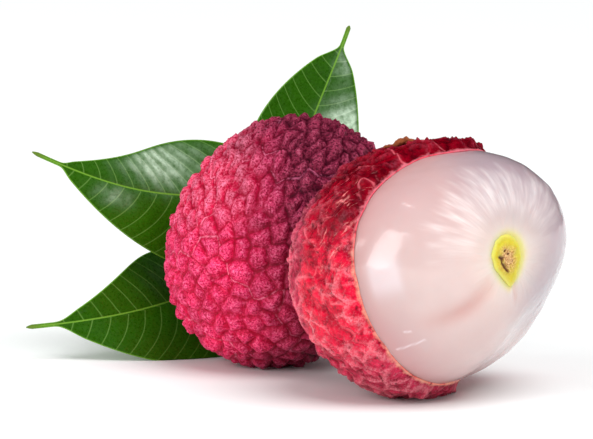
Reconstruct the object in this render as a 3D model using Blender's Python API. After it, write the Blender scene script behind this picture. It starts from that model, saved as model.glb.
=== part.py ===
"""A bunch of lychees: a whole fruit on its leafy twig, with a half-peeled fruit leaning on it.

The whole fruit sits over the origin on a small flattened spot. The peeled fruit rests in front and
to the right of it (-Y is the front). Behind the whole fruit a short twig carries the fruit's stalk
and three leaves, and its cut end stands on the same surface.
Blender 4.5: run with blender --background --python part.py, or from the text editor.
"""
import math

import bmesh
import bpy
import numpy as np

# ---------------------------------------------------------------- driving dimensions, millimetres
MM = 0.001                  # metres in a millimetre
GAP = 0.3                   # clearance between pieces that touch
PETIOLE_GAP = 0.45          # the end of a petiole is square to its own heading, so it stands off more
RIND_GAP = 0.4              # the peeled rind stands this far off the flesh
RIND_THICKNESS = 0.8        # leathery skin of a lychee
SEGMENTS = 48               # faces round a fruit
RINGS = 24                  # faces from end to end of a fruit

# A fruit is a rounded body about its centre. Polar angle 0 is the stalk end. Its radius is
#   size * (1 + length*P2(cos) + pear*P3(cos) + lobes) - a dimple at the stalk end
# and each lobe is (number round the axis, power of cos(polar), cosine part, sine part).
WHOLE_FRUIT = dict(
    centre=(0.3, 0.0, 17.25),
    leans_right=22.6, leans_back=50.0,
    size=17.2, length=0.072, pear=0.011,
    lobes=((2, 0, -0.007, -0.053), (1, 1, -0.025, 0.016), (3, 0, 0.005, -0.008)),
    dimple_depth=1.2, dimple_spread=0.35,
)
PEELED_FRUIT = dict(
    centre=(20.1, -28.55, 17.05),
    turned=38.7, tipped_up=11.85,
    size=16.78, length=0.024, pear=0.034,
    lobes=((2, 0, 0.058, -0.020), (1, 1, 0.040, 0.169), (2, 1, 0.019, 0.197),
           (3, 0, 0.014, -0.020), (3, 1, 0.008, 0.128), (4, 0, 0.010, -0.028)),
    dimple_depth=1.8, dimple_spread=0.45,
)
# polar angle of the torn edge of the rind, as a wave round the fruit plus tears. A tear is
# (around, half width, how much further back the edge lies)
RIND_EDGE = dict(mean=1.397, once=(0.081, -0.084), twice=(0.018, -0.031),
                 tears=((-0.873, 0.80, 0.50), (1.396, 0.49, -0.15)))

SCAR_UP = 2.9               # stalk scar: reach above, below and to each side of the stalk end
SCAR_DOWN = 4.0
SCAR_SIDE = 2.4
SCAR_POINT = 1.45           # power of the outline's lower half: 2 is an ellipse, 1 a triangle
SCAR_THICKNESS = 0.7

TWIG_PATH = ((10.0, 19.6, 24.0), (9.5, 22.0, 16.0), (8.9, 25.0, 7.0), (8.3, 27.2, 0.3))
TWIG_TOP_RADIUS = 1.0
TWIG_FOOT_RADIUS = 1.25
KNUCKLE = 0.22              # swelling of the twig where a leaf leaves it
STALK_RADIUS = 0.75
STALK_RISE = 4.5            # how far the fruit's stalk runs straight out of the fruit

PETIOLE_RADIUS = 0.6
LEAF_HALF_THICKNESS = 0.25
DRIP_TIP = 0.33             # half the width of a leaf's long narrow tip
BLADE_START = 0.06          # where the blade leaves the petiole, along the midrib
CREASE_ROUNDING = 0.8       # how softly the two halves meet at the midrib

# A leaf's midrib is one Bezier arc: it leaves the twig at twig_at and heads for bend_1. Half widths
# are for the side above and the side below; widest and blade_end are places along the midrib;
# lean is how far the face tips back, at the petiole and at the tip; fold lifts the two halves, or
# drops them where it is below 0.
LEAVES = dict(
    leaf_upper=dict(twig_at=0.23, bend_1=(-3.6, 28.4, 18.3), bend_2=(5.45, 27.6, 33.2),
                    tip=(9.65, 30.5, 45.15), half_widths=(8.25, 8.05), widest=0.452, taper=0.90,
                    blade_end=0.93, lean=(8, 12), fold=0.15),
    leaf_left=dict(twig_at=0.41, bend_1=(-15.8, 18.8, 26.6), bend_2=(-11.6, 8.5, 17.65),
                   tip=(-35.35, 5.0, 29.3), half_widths=(8.85, 10.7), widest=0.408, taper=0.89,
                   blade_end=0.947, lean=(8, 36), fold=-0.13),
    leaf_lower=dict(twig_at=0.66, bend_1=(-20.0, 20.6, 8.4), bend_2=(-10.2, 5.5, 6.7),
                    tip=(-36.2, 2.0, 4.75), half_widths=(7.7, 12.4), widest=0.50, taper=1.17,
                    blade_end=0.956, lean=(32, 23), fold=0.30),
)

# The dried calyx flake lies on top of the rind: (polar, around, radius) along its length, from the
# knob at the end of its little stem to the torn end of the flake.
CALYX_PATH = (
    (1.690, 1.800, 0.30), (1.682, 1.790, 0.36), (1.672, 1.782, 0.24), (1.658, 1.768, 0.18),
    (1.638, 1.748, 0.20), (1.625, 1.730, 0.34), (1.610, 1.705, 0.46), (1.590, 1.675, 0.42),
    (1.570, 1.650, 0.48), (1.552, 1.632, 0.38), (1.542, 1.618, 0.24),
)


# ---------------------------------------------------------------- shapes as points
def unit(vector):
    """A vector of length 1 along the last axis."""
    vector = np.asarray(vector, float)
    return vector / np.linalg.norm(vector, axis=-1, keepdims=True)


def bezier(points, t):
    """Points on a cubic Bezier arc at the places t."""
    t = np.asarray(t, float)[..., None]
    a, b, c, d = np.asarray(points, float)
    return (1 - t) ** 3 * a + 3 * (1 - t) ** 2 * t * b + 3 * (1 - t) * t * t * c + t ** 3 * d


def bezier_heading(points, t):
    """Unit tangents of a cubic Bezier arc at the places t."""
    t = np.asarray(t, float)[..., None]
    a, b, c, d = np.asarray(points, float)
    return unit((1 - t) ** 2 * (b - a) + 2 * (1 - t) * t * (c - b) + t * t * (d - c))


def smooth_step(x):
    """0 below 0, 1 above 1, and a smooth rise between."""
    x = np.clip(x, 0, 1)
    return x * x * (3 - 2 * x)


def fruit_axis(fruit):
    """Unit vector from a fruit's centre to its stalk end."""
    if "turned" in fruit:
        turn = math.radians(fruit["turned"])
        tip = math.radians(fruit["tipped_up"])
        return np.array((math.sin(turn) * math.cos(tip), -math.cos(turn) * math.cos(tip), math.sin(tip)))
    right = math.radians(fruit["leans_right"])
    back = math.radians(fruit["leans_back"])
    return np.array((math.sin(right), math.sin(back) * math.cos(right), math.cos(back) * math.cos(right)))


def fruit_frame(fruit):
    """Rows: the fruit's two cross directions and its axis."""
    axis = fruit_axis(fruit)
    level = unit(np.cross((0, 0, 1), axis))
    return np.stack((level, np.cross(axis, level), axis))


def fruit_radius(fruit, polar, around):
    """Distance from the fruit's centre to its surface in a direction."""
    c = np.cos(polar)
    s = np.sin(polar)
    form = 1 + fruit["length"] * (3 * c * c - 1) / 2 + fruit["pear"] * (5 * c ** 3 - 3 * c) / 2
    for count, power, cosine, sine in fruit["lobes"]:
        form = form + s ** count * c ** power * (cosine * np.cos(count * around) + sine * np.sin(count * around))
    dimple = fruit["dimple_depth"] * np.exp(-(polar / fruit["dimple_spread"]) ** 2)
    return fruit["size"] * form - dimple


def fruit_points(fruit, polar, around, proud=0.0):
    """Points a distance proud of the fruit's surface, for arrays of directions."""
    polar, around = np.broadcast_arrays(np.asarray(polar, float), np.asarray(around, float))
    radius = fruit_radius(fruit, polar, around) + proud
    local = np.stack((np.sin(polar) * np.cos(around), np.sin(polar) * np.sin(around), np.cos(polar)), -1)
    return np.asarray(fruit["centre"]) + (radius[..., None] * local) @ fruit_frame(fruit)


def around_angles(count):
    """Evenly spaced angles round a full turn."""
    return np.arange(count) * math.tau / count


def rind_edge_angle(around):
    """Polar angle at which the rind of the peeled fruit ends."""
    once = RIND_EDGE["once"]
    twice = RIND_EDGE["twice"]
    edge = (RIND_EDGE["mean"] + once[0] * np.cos(around) + once[1] * np.sin(around)
            + twice[0] * np.cos(2 * around) + twice[1] * np.sin(2 * around))
    for middle, half_width, depth in RIND_EDGE["tears"]:
        off = np.abs((around - middle + math.pi) % math.tau - math.pi)
        edge = edge + depth * smooth_step(1 - off / half_width)
    return edge


# ---------------------------------------------------------------- meshes and materials
def clear_scene():
    """Remove what the start file brings."""
    for thing in list(bpy.data.objects):
        bpy.data.objects.remove(thing, do_unlink=True)


def material(name, colour, roughness):
    """A plain Principled finish."""
    finish = bpy.data.materials.new(name)
    finish.use_nodes = True
    shader = finish.node_tree.nodes["Principled BSDF"]
    shader.inputs["Base Color"].default_value = (*colour, 1)
    shader.inputs["Roughness"].default_value = roughness
    shader.inputs["Metallic"].default_value = 0.0
    return finish


def add_piece(name, shape, finish, sharp_degrees=60):
    """Put a finished bmesh, in millimetres, into the scene as one smooth-shaded object in metres."""
    bmesh.ops.scale(shape, vec=(MM, MM, MM), verts=shape.verts)
    bmesh.ops.recalc_face_normals(shape, faces=shape.faces)
    mesh = bpy.data.meshes.new(name)
    shape.to_mesh(mesh)
    shape.free()
    mesh.shade_smooth()
    mesh.set_sharp_from_angle(angle=math.radians(sharp_degrees))
    mesh.materials.append(finish)
    piece = bpy.data.objects.new(name, mesh)
    bpy.context.scene.collection.objects.link(piece)
    return piece


def loft(rings):
    """A closed body through rings of points: quads between rings, a fan of triangles at each end."""
    shape = bmesh.new()
    rows = [[shape.verts.new(point) for point in ring] for ring in rings]
    count = len(rows[0])
    for low, high in zip(rows, rows[1:]):
        for i in range(count):
            j = (i + 1) % count
            shape.faces.new((low[i], low[j], high[j], high[i]))
    for row, turned in ((rows[0], True), (rows[-1], False)):
        middle = shape.verts.new(np.mean([vertex.co for vertex in row], axis=0))
        for i in range(count):
            j = (i + 1) % count
            shape.faces.new((row[j], row[i], middle) if turned else (row[i], row[j], middle))
    return shape


def flatten_foot(shape):
    """Cut the body off level with the surface it stands on, and close it with one flat face."""
    everything = shape.verts[:] + shape.edges[:] + shape.faces[:]
    bmesh.ops.bisect_plane(shape, geom=everything, plane_co=(0, 0, 0), plane_no=(0, 0, -1), clear_outer=True)
    rim = [edge for edge in shape.edges if edge.is_boundary]
    bmesh.ops.contextual_create(shape, geom=rim)


def tube_rings(path, headings, radii, count):
    """Circles of the given radii round the points of a path, square to its headings."""
    side = unit(np.cross(headings, (0.31, 0.17, 0.93)))
    other = np.cross(headings, side)
    angles = around_angles(count)[None, :, None]
    circle = np.cos(angles) * side[:, None] + np.sin(angles) * other[:, None]
    return path[:, None] + np.asarray(radii)[:, None, None] * circle


# ---------------------------------------------------------------- the whole fruit and its twig
def make_whole_lychee():
    """The whole fruit: a UV sphere pulled out to the fruit's form, flat where it rests."""
    shape = bmesh.new()
    bmesh.ops.create_uvsphere(shape, u_segments=SEGMENTS, v_segments=RINGS, radius=1)
    for vertex in shape.verts:
        polar = math.acos(max(-1.0, min(1.0, vertex.co.z)))
        around = math.atan2(vertex.co.y, vertex.co.x)
        vertex.co = fruit_points(WHOLE_FRUIT, polar, around)
    flatten_foot(shape)
    return add_piece("whole_lychee", shape, material("lychee_rind", (0.55, 0.03, 0.10), 0.55))


def make_fruit_stalk():
    """The stalk: out of the dimple along the fruit's axis, then over to the top of the twig."""
    axis = fruit_axis(WHOLE_FRUIT)
    root = fruit_points(WHOLE_FRUIT, 0.0, 0.0) + axis * (GAP + 0.1)
    twig_top = np.asarray(TWIG_PATH[0])
    twig_heading = bezier_heading(TWIG_PATH, 0.0)
    end = twig_top - twig_heading * GAP
    route = (root, root + axis * STALK_RISE, end - twig_heading * STALK_RISE, end)
    t = np.linspace(0, 1, 13)
    radii = STALK_RADIUS + 0.25 * (smooth_step((t - 0.8) / 0.2) + smooth_step((0.15 - t) / 0.15))
    shape = loft(tube_rings(bezier(route, t), bezier_heading(route, t), radii, 10))
    return add_piece("fruit_stalk", shape, material("green_brown_stalk", (0.16, 0.11, 0.05), 0.7))


def twig_radius(t):
    """The twig thickens to its foot and swells at each leaf."""
    swelling = sum(KNUCKLE * np.exp(-((t - leaf["twig_at"]) / 0.035) ** 2) for leaf in LEAVES.values())
    return TWIG_TOP_RADIUS + (TWIG_FOOT_RADIUS - TWIG_TOP_RADIUS) * t + swelling


def make_twig():
    """The woody twig behind the fruit, with its cut end standing on the surface."""
    t = np.linspace(0, 1, 29)
    rings = tube_rings(bezier(TWIG_PATH, t), bezier_heading(TWIG_PATH, t), twig_radius(t), 12)
    rings[..., 2] = np.maximum(rings[..., 2], 0.0)
    return add_piece("twig", loft(rings), material("twig_bark", (0.13, 0.08, 0.045), 0.85), sharp_degrees=50)


# ---------------------------------------------------------------- leaves
def leaf_half_width(leaf, side, s):
    """Half width of one side of the blade: a skewed hump that narrows to the drip tip."""
    place = np.clip((s - BLADE_START) / (leaf["blade_end"] - BLADE_START), 0, 1)
    skewed = place ** (math.log(0.5) / math.log(leaf["widest"]))
    blade = leaf["half_widths"][side] * (4 * skewed * (1 - skewed)) ** leaf["taper"]
    petiole = PETIOLE_RADIUS * (1 - smooth_step(s / 0.12))
    return np.sqrt(blade ** 2 + DRIP_TIP ** 2 * np.clip((1 - s) / 0.01, 0.05, 1) + petiole ** 2)


def leaf_midrib(leaf):
    """The Bezier arc of the midrib, starting a gap away from the twig."""
    heart = bezier(TWIG_PATH, leaf["twig_at"])
    heading = unit(np.asarray(leaf["bend_1"]) - heart)
    start = heart + heading * (twig_radius(leaf["twig_at"]) + PETIOLE_GAP)
    return start, leaf["bend_1"], leaf["bend_2"], leaf["tip"]


def leaf_rings(leaf):
    """Thin closed sections across the leaf, from the petiole to the drip tip."""
    s = np.linspace(0, 1, 31)
    route = leaf_midrib(leaf)
    middle = bezier(route, s)
    heading = bezier_heading(route, s)
    lean = np.radians(leaf["lean"][0] + (leaf["lean"][1] - leaf["lean"][0]) * s)
    facing = np.stack((0 * s, -np.cos(lean), np.sin(lean)), -1)
    across = unit(np.cross(heading, facing))
    upward = np.cross(across, heading)
    petiole = PETIOLE_RADIUS * (1 - smooth_step(s / 0.12))
    thick = np.sqrt(LEAF_HALF_THICKNESS ** 2 + petiole ** 2)[:, None]
    angle = around_angles(14)[None]
    place = np.cos(angle)
    half_width = np.where(place > 0, leaf_half_width(leaf, 0, s)[:, None], leaf_half_width(leaf, 1, s)[:, None])
    reach = place * half_width
    lift = leaf["fold"] * (np.sqrt(reach ** 2 + CREASE_ROUNDING ** 2) - CREASE_ROUNDING)
    height = lift + thick * np.sin(angle)
    rings = middle[:, None] + across[:, None] * reach[..., None] + upward[:, None] * height[..., None]
    rings[..., 2] = np.maximum(rings[..., 2], 0.0)
    return rings


def make_leaf(name, leaf):
    """A leaf, blade and petiole in one."""
    return add_piece(name, loft(leaf_rings(leaf)), material(name + "_green", (0.04, 0.16, 0.02), 0.4), 70)


# ---------------------------------------------------------------- the peeled fruit
def make_peeled_lychee_flesh():
    """The flesh: a UV sphere pulled out to its lopsided form, with the dimple at the stalk end."""
    shape = bmesh.new()
    bmesh.ops.create_uvsphere(shape, u_segments=SEGMENTS, v_segments=RINGS, radius=1)
    for vertex in shape.verts:
        polar = math.acos(max(-1.0, min(1.0, vertex.co.z)))
        around = math.atan2(vertex.co.y, vertex.co.x)
        vertex.co = fruit_points(PEELED_FRUIT, polar, around)
    return add_piece("peeled_lychee_flesh", shape, material("lychee_flesh", (0.80, 0.66, 0.66), 0.2))


def make_peeled_lychee_rind():
    """The rind left on the back of the fruit: a cup with an inner and an outer wall."""
    around = around_angles(SEGMENTS)
    edge = rind_edge_angle(around)
    steps = np.linspace(0, 1, 15)[:-1]
    far_end = math.pi - 0.02
    rows = [edge + (far_end - edge) * step for step in steps]
    outer = [fruit_points(PEELED_FRUIT, row, around, RIND_GAP + RIND_THICKNESS) for row in rows]
    inner = [fruit_points(PEELED_FRUIT, row, around, RIND_GAP) for row in rows]
    lip = fruit_points(PEELED_FRUIT, edge - 0.02, around, RIND_GAP + RIND_THICKNESS / 2)
    shape = loft(outer[::-1] + [lip] + inner)
    flatten_foot(shape)
    return add_piece("peeled_lychee_rind", shape, material("wet_rind", (0.60, 0.01, 0.03), 0.3))


def scar_reach(angle):
    """Outline of the stalk scar: a teardrop, pointed below."""
    above = np.sin(angle) > 0
    up = np.where(above, SCAR_UP, SCAR_DOWN)
    power = np.where(above, 2.0, SCAR_POINT)
    across = np.abs(np.cos(angle)) / SCAR_SIDE
    along = np.abs(np.sin(angle)) / up
    return (across ** power + along ** power) ** (-1 / power)


def make_stem_scar():
    """The yellow-green scar: a domed teardrop that follows the flesh in its dimple."""
    angle = around_angles(24)
    flesh_radius = fruit_radius(PEELED_FRUIT, 0.0, 0.0)
    top = []
    bottom = []
    for part in (0.12, 0.4, 0.65, 0.85, 1.0):
        polar = part * scar_reach(angle) / flesh_radius
        dome = SCAR_THICKNESS * math.sqrt(1.03 - part * part)
        top.append(fruit_points(PEELED_FRUIT, polar, angle, GAP + dome))
        bottom.append(fruit_points(PEELED_FRUIT, polar, angle, GAP))
    return add_piece("stem_scar", loft(bottom + top[::-1]), material("stalk_scar", (0.55, 0.50, 0.05), 0.5))


def make_dried_calyx():
    """The dried flake and stub of calyx that clings to the top of the rind."""
    polar, around, radii = np.array(CALYX_PATH).T
    path = fruit_points(PEELED_FRUIT, polar, around, RIND_GAP + RIND_THICKNESS + GAP + radii)
    heading = unit(np.gradient(path, axis=0))
    shape = loft(tube_rings(path, heading, radii, 8))
    return add_piece("dried_calyx", shape, material("dried_calyx_brown", (0.30, 0.12, 0.03), 0.8))


def build():
    """Make every piece."""
    clear_scene()
    make_whole_lychee()
    make_fruit_stalk()
    make_twig()
    for name, leaf in LEAVES.items():
        make_leaf(name, leaf)
    make_peeled_lychee_flesh()
    make_peeled_lychee_rind()
    make_stem_scar()
    make_dried_calyx()


build()
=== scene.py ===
"""The looks of a bunch of lychees: a whole fruit on its leafy twig and a half-peeled fruit beside it.

Every piece is a closed surface worked out as whole arrays over two parameters. Lengths are in
millimetres until a piece's mesh is made. X is to the right, -Y is the front, Z is up.
"""
import math

import bpy
import numpy as np
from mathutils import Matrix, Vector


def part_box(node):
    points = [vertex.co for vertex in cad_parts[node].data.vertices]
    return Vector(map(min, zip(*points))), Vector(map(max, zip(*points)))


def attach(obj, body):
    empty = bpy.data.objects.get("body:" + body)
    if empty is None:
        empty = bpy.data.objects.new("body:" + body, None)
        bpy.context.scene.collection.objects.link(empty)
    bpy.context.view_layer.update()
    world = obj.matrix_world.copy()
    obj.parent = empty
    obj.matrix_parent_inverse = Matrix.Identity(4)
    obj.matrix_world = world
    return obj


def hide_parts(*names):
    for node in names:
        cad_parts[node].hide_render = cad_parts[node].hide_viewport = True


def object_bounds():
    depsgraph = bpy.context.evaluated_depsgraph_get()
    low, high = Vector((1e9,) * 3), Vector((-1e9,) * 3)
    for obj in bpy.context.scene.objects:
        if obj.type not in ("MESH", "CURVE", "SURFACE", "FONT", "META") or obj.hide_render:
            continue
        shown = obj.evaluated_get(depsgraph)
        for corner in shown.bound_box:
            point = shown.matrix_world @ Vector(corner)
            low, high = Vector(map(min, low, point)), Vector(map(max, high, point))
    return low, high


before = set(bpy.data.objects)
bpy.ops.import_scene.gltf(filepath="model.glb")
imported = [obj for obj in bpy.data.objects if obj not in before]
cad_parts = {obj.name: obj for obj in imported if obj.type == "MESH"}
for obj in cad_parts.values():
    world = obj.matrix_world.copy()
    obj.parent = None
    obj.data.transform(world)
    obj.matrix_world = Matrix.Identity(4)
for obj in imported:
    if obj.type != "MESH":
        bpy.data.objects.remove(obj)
cad_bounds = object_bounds()

# ---------------------------------------------------------------- sizes, millimetres
MM = 0.001                  # metres in a millimetre
PER_MM = 1000.0             # noise scale for grains of a millimetre, as coordinates are in metres
GAP = 0.3                   # clearance between pieces that touch
PETIOLE_GAP = 0.45          # clearance between a leaf and the twig
RIND_GAP = 0.4              # the peeled rind stands this far off the flesh
RIND_THICKNESS = 0.8

# A fruit is a rounded body about its centre, which sits at from_middle from the middle of its box.
# Polar angle 0 is the stalk end. Its radius is
#   size * (1 + length*P2(cos) + pear*P3(cos) + lobes) - a dimple at the stalk end
# and each lobe is (number round the axis, power of cos(polar), cosine part, sine part). The whole
# fruit's stalk end leans away from upright, and the peeled one's is turned right from the front and
# tipped up, all in degrees.
WHOLE_FRUIT = dict(
    node="whole_lychee", from_middle=(0.065, 0.025, -0.165),
    leans_right=22.6, leans_back=50.0,
    size=17.2, length=0.072, pear=0.011,
    lobes=((2, 0, -0.007, -0.053), (1, 1, -0.025, 0.016), (3, 0, 0.005, -0.008)),
    dimple_depth=1.2, dimple_spread=0.35,
)
PEELED_FRUIT = dict(
    node="peeled_lychee_flesh", from_middle=(-0.05, -0.405, -0.035),
    turned=38.7, tipped_up=11.85,
    size=16.78, length=0.024, pear=0.034,
    lobes=((2, 0, 0.058, -0.020), (1, 1, 0.040, 0.169), (2, 1, 0.019, 0.197),
           (3, 0, 0.014, -0.020), (3, 1, 0.008, 0.128), (4, 0, 0.010, -0.028)),
    dimple_depth=1.8, dimple_spread=0.45,
)
# The polar angle of the torn edge of the rind: its mean, the cosine and sine parts of one wave and of
# two waves round the fruit, and its tears. A tear is (around, half width, how much further back).
RIND_EDGE = dict(mean=1.397, once=(0.081, -0.084), twice=(0.018, -0.031),
                 tears=((-0.873, 0.80, 0.50), (1.396, 0.49, -0.15)))

# The mosaic of bumps on a rind. A bump is longer than wide by stretch along the fruit, and by
# round_end near the blossom end. Bumps are wider by spread where the rind faces facing. Jitter is a
# share of their spacing, wander bends their grooves, and they belong to so many groups.
WHOLE_BUMPS = dict(count=800, jitter=0.40, stretch=2.8, round_end=0.95, facing=(0.12, -0.97, 0.2),
                   spread=0.30, wander=0.85, groups=70, seed=7)
WHOLE_GRAINS = dict(WHOLE_BUMPS, count=3400, jitter=0.5, stretch=1.25, wander=0.7, seed=11)
BUMP_RISE = 0.80            # height of a bump above its groove
BUMP_SHOULDER = 1.30        # distance in from the groove at which a bump is at its height
BUMP_LEAN = 0.09            # rise per millimetre towards the stalk end
GRAIN_RISE = 0.06           # height of the grains that cover each bump
GRAIN_SHOULDER = 0.42
SEAM_RISE = 0.22            # height of the pale threads between families of bumps
RIND_UNDER_CAD = 0.52       # the groove floor lies this far inside the CAD surface

PEELED_BUMPS = dict(count=560, jitter=0.45, stretch=1.3, round_end=1.0, facing=(-0.6, -0.7, -0.2),
                    spread=0.12, wander=1.1, groups=170, seed=23)
PEELED_GRAINS = dict(PEELED_BUMPS, count=3600, jitter=0.5, wander=0.8, seed=29)
PEELED_RISE = 0.34
PEELED_SHOULDER = 0.95
PEELED_GROOVE = 0.40        # the groove floor lies this far inside the full thickness
FLESH_UNDER_CAD = 0.07      # the flesh lies this far inside the CAD surface
TORN_THICKNESS = 0.10       # top of the torn edge above the CAD flesh
EDGE_PRESS = -0.17          # underside of the torn edge, pressed lightly into the flesh

FOLD_TURN = -2.47           # the flesh's fold and its short crease run from the scar at these angles
CREASE_TURN = -1.35
# thin scratches in the flesh, painted as pale highlight lines: polar angle at each end, turn round the
# fruit, its drift, width
SCRATCHES = ((1.279, 1.013, -2.433, 0.036, 0.13), (1.12, 1.07, -2.56, 0.02, 0.16))

SCAR_UP = 2.9               # stalk scar: reach above, below and to each side of the stalk end
SCAR_DOWN = 4.0
SCAR_SIDE = 2.4
SCAR_POINT = 1.45           # power of the outline's lower half: 2 is an ellipse, 1 a triangle
SCAR_THICKNESS = 0.40
SCAR_SHIFT = 0.65           # how far the round end is pushed sideways
# crevices in the scar: one end, the other end, width
SCAR_CREVICES = (((-1.85, 0.05), (-1.50, -0.05), 0.26), ((-1.50, -0.75), (-0.75, -1.75), 0.24),
                 ((-1.60, -0.15), (-1.50, -0.75), 0.14), ((-0.6, 0.4), (-0.5, 0.5), 0.12),
                 ((0.1, -0.5), (0.15, -0.4), 0.12), ((-1.1, 0.9), (-1.0, 1.0), 0.12))

# The twig's and leaves' points are measured from the low corner of their own CAD box.
TWIG_PATH = ((2.94, 0.96, 24.0), (2.44, 3.36, 16.0), (1.84, 6.36, 7.0), (1.24, 8.56, 0.3))
TWIG_TOP_RADIUS = 1.0
TWIG_FOOT_RADIUS = 1.25
KNUCKLE = 0.22              # swelling of the twig where a leaf grows
STALK_RADIUS = 0.75
STALK_RISE = 4.5            # how far the stalk runs straight before it bends

PETIOLE_RADIUS = 0.6
LEAF_HALF_THICKNESS = 0.13
DRIP_TIP = 0.33             # half width of the drawn-out tip
BLADE_START = 0.06          # share of the leaf that is petiole
CREASE_ROUNDING = 0.8       # radius at the bottom of the fold
VEIN_QUILTING = 0.05        # how far the blade bulges up between two side veins

# A leaf grows from the place twig_at down the twig, along a midrib with three more Bezier points. Its
# two half widths are widest at a place along the blade, which ends at blade_end, and hollow_tip draws
# in the last part before the drip tip. It leans back by lean degrees at its foot and at its tip, and
# fold is the slope of its V, camber its droop. A patch of painted sheen, a pale highlight painted
# into the colour, is (place along, spread along, distance off the midrib, spread across, strength).
LEAVES = dict(
    leaf_upper=dict(
        twig_at=0.23, midrib=((1.93, 6.83, 2.06), (10.98, 6.03, 16.96), (15.18, 8.93, 28.91)),
        half_widths=(8.25, 8.05), widest=0.452, taper=0.90, blade_end=0.93, hollow_tip=0.10,
        lean=(8, 12), fold=0.15, camber=(0.012, 0.008), vein_spacing=2.3, seed=3,
        waxy=((0.63, 0.10, 4.8, 2.7, 1.9), (0.88, 0.05, 1.6, 1.3, 1.2))),
    leaf_left=dict(
        twig_at=0.41, midrib=((19.64, 14.01, 15.57), (23.84, 3.71, 6.62), (0.09, 0.21, 18.27)),
        half_widths=(8.85, 10.7), widest=0.408, taper=0.89, blade_end=0.947, hollow_tip=0.04,
        lean=(8, 36), fold=-0.13, camber=(0.008, 0.006), vein_spacing=2.6, seed=5,
        waxy=((0.585, 0.14, 4.8, 3.0, 1.30), (0.79, 0.05, -1.8, 1.3, 0.34))),
    leaf_lower=dict(
        twig_at=0.66, midrib=((16.22, 19.27, 8.4), (26.02, 4.17, 6.7), (0.02, 0.67, 4.75)),
        half_widths=(7.7, 12.4), widest=0.50, taper=1.17, blade_end=0.956, hollow_tip=0.08,
        lean=(32, 23), fold=0.30, camber=(0.010, 0.006), vein_spacing=2.8, seed=9,
        waxy=((0.42, 0.18, 4.0, 3.0, 0.07),)),
)

# (polar, around, radius) along the dried flake, from the knob of its stem to its torn end
CALYX_PATH = (
    (1.690, 1.800, 0.30), (1.682, 1.790, 0.36), (1.672, 1.782, 0.24), (1.658, 1.768, 0.18),
    (1.638, 1.748, 0.20), (1.625, 1.730, 0.34), (1.610, 1.705, 0.46), (1.590, 1.675, 0.42),
    (1.570, 1.650, 0.48), (1.552, 1.632, 0.38), (1.542, 1.618, 0.24),
)

# How finely each piece is meshed: rows along it and points round it.
WHOLE_MESH = 120            # faces along each edge of the cube that becomes the whole fruit
STALK_MESH = (90, 36)
TWIG_MESH = (150, 40)
LEAF_MESH = (190, 69)       # the points are across the face
FLESH_MESH = (200, 30, 400)     # rows in sight, rows under the rind, points round
RIND_MESH = (170, 8, 36, 420)   # rows of the outer wall, of the lip, of the inner wall, points round
SCAR_MESH = (48, 120)
CALYX_MESH = (70, 32)

CAMERA_AIM = (1.665, 0.025, 2.885)      # from the middle of the whole fruit's CAD box
CAMERA_DISTANCE = 600.0
CAMERA_DOWN = 7.0           # degrees below level
CAMERA_LENS = 260.1

# A softbox is turn degrees to the right of the front and rise degrees up, then its width and height in
# metres, how bright it looks beside a white of 1, its roll, and whether it shows in reflections.
SOFTBOX_DISTANCE = 0.9      # metres
SOFTBOXES = dict(
    window_left=(-43, 17, 0.26, 0.74, 5.4, 9, True),
    window_side=(-68, 14, 0.08, 0.40, 4.0, 0, True),
    strip_left=(-106, 26, 0.02, 0.50, 30.0, 0, True),
    strip_above=(-56, 72, 0.22, 0.02, 12.0, 0, True),
    fill_right=(62, 14, 0.70, 0.50, 1.0, 0, False),
)


# ---------------------------------------------------------------- shapes as points
def unit(vector):
    """A vector of length 1 along the last axis."""
    vector = np.asarray(vector, float)
    return vector / np.linalg.norm(vector, axis=-1, keepdims=True)


def bezier(points, t):
    """Points on a cubic Bezier arc: the four points weighted by the Bernstein polynomials of t."""
    t = np.asarray(t, float)[..., None]
    a, b, c, d = np.asarray(points, float)
    return (1 - t) ** 3 * a + 3 * (1 - t) ** 2 * t * b + 3 * (1 - t) * t * t * c + t ** 3 * d


def bezier_heading(points, t):
    """Unit tangents of a cubic Bezier arc: its derivative in t at length 1."""
    t = np.asarray(t, float)[..., None]
    a, b, c, d = np.asarray(points, float)
    return unit((1 - t) ** 2 * (b - a) + 2 * (1 - t) * t * (c - b) + t * t * (d - c))


def smooth_step(x):
    """0 below 0, 1 above 1, and 3x^2 - 2x^3 between."""
    x = np.clip(x, 0, 1)
    return x * x * (3 - 2 * x)


def box_corners(node_name):
    """Low and high corner of a CAD node, in millimetres."""
    low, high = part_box(node_name)
    return np.array(low) / MM, np.array(high) / MM


def from_low_corner(node_name, points):
    """Points given from the low corner of a CAD node, in the row frame."""
    return box_corners(node_name)[0] + np.asarray(points, float)


def fruit_centre(fruit):
    """The middle of the fruit's CAD box plus the fruit's own offset from it."""
    low, high = box_corners(fruit["node"])
    return (low + high) / 2 + fruit["from_middle"]


def turned_towards(right, up):
    """The unit vector right radians to the right of the front and up radians above level."""
    return np.array((math.sin(right) * math.cos(up), -math.cos(right) * math.cos(up), math.sin(up)))


def fruit_axis(fruit):
    """Unit vector from a fruit's centre to its stalk end."""
    if "turned" in fruit:
        return turned_towards(math.radians(fruit["turned"]), math.radians(fruit["tipped_up"]))
    right = math.radians(fruit["leans_right"])
    back = math.radians(fruit["leans_back"])
    return np.array((math.sin(right), math.sin(back) * math.cos(right), math.cos(back) * math.cos(right)))


def fruit_frame(fruit):
    """Rows: the fruit's two cross directions, the first of them level, and its axis."""
    axis = fruit_axis(fruit)
    level = unit(np.cross((0, 0, 1), axis))
    return np.stack((level, np.cross(axis, level), axis))


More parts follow.
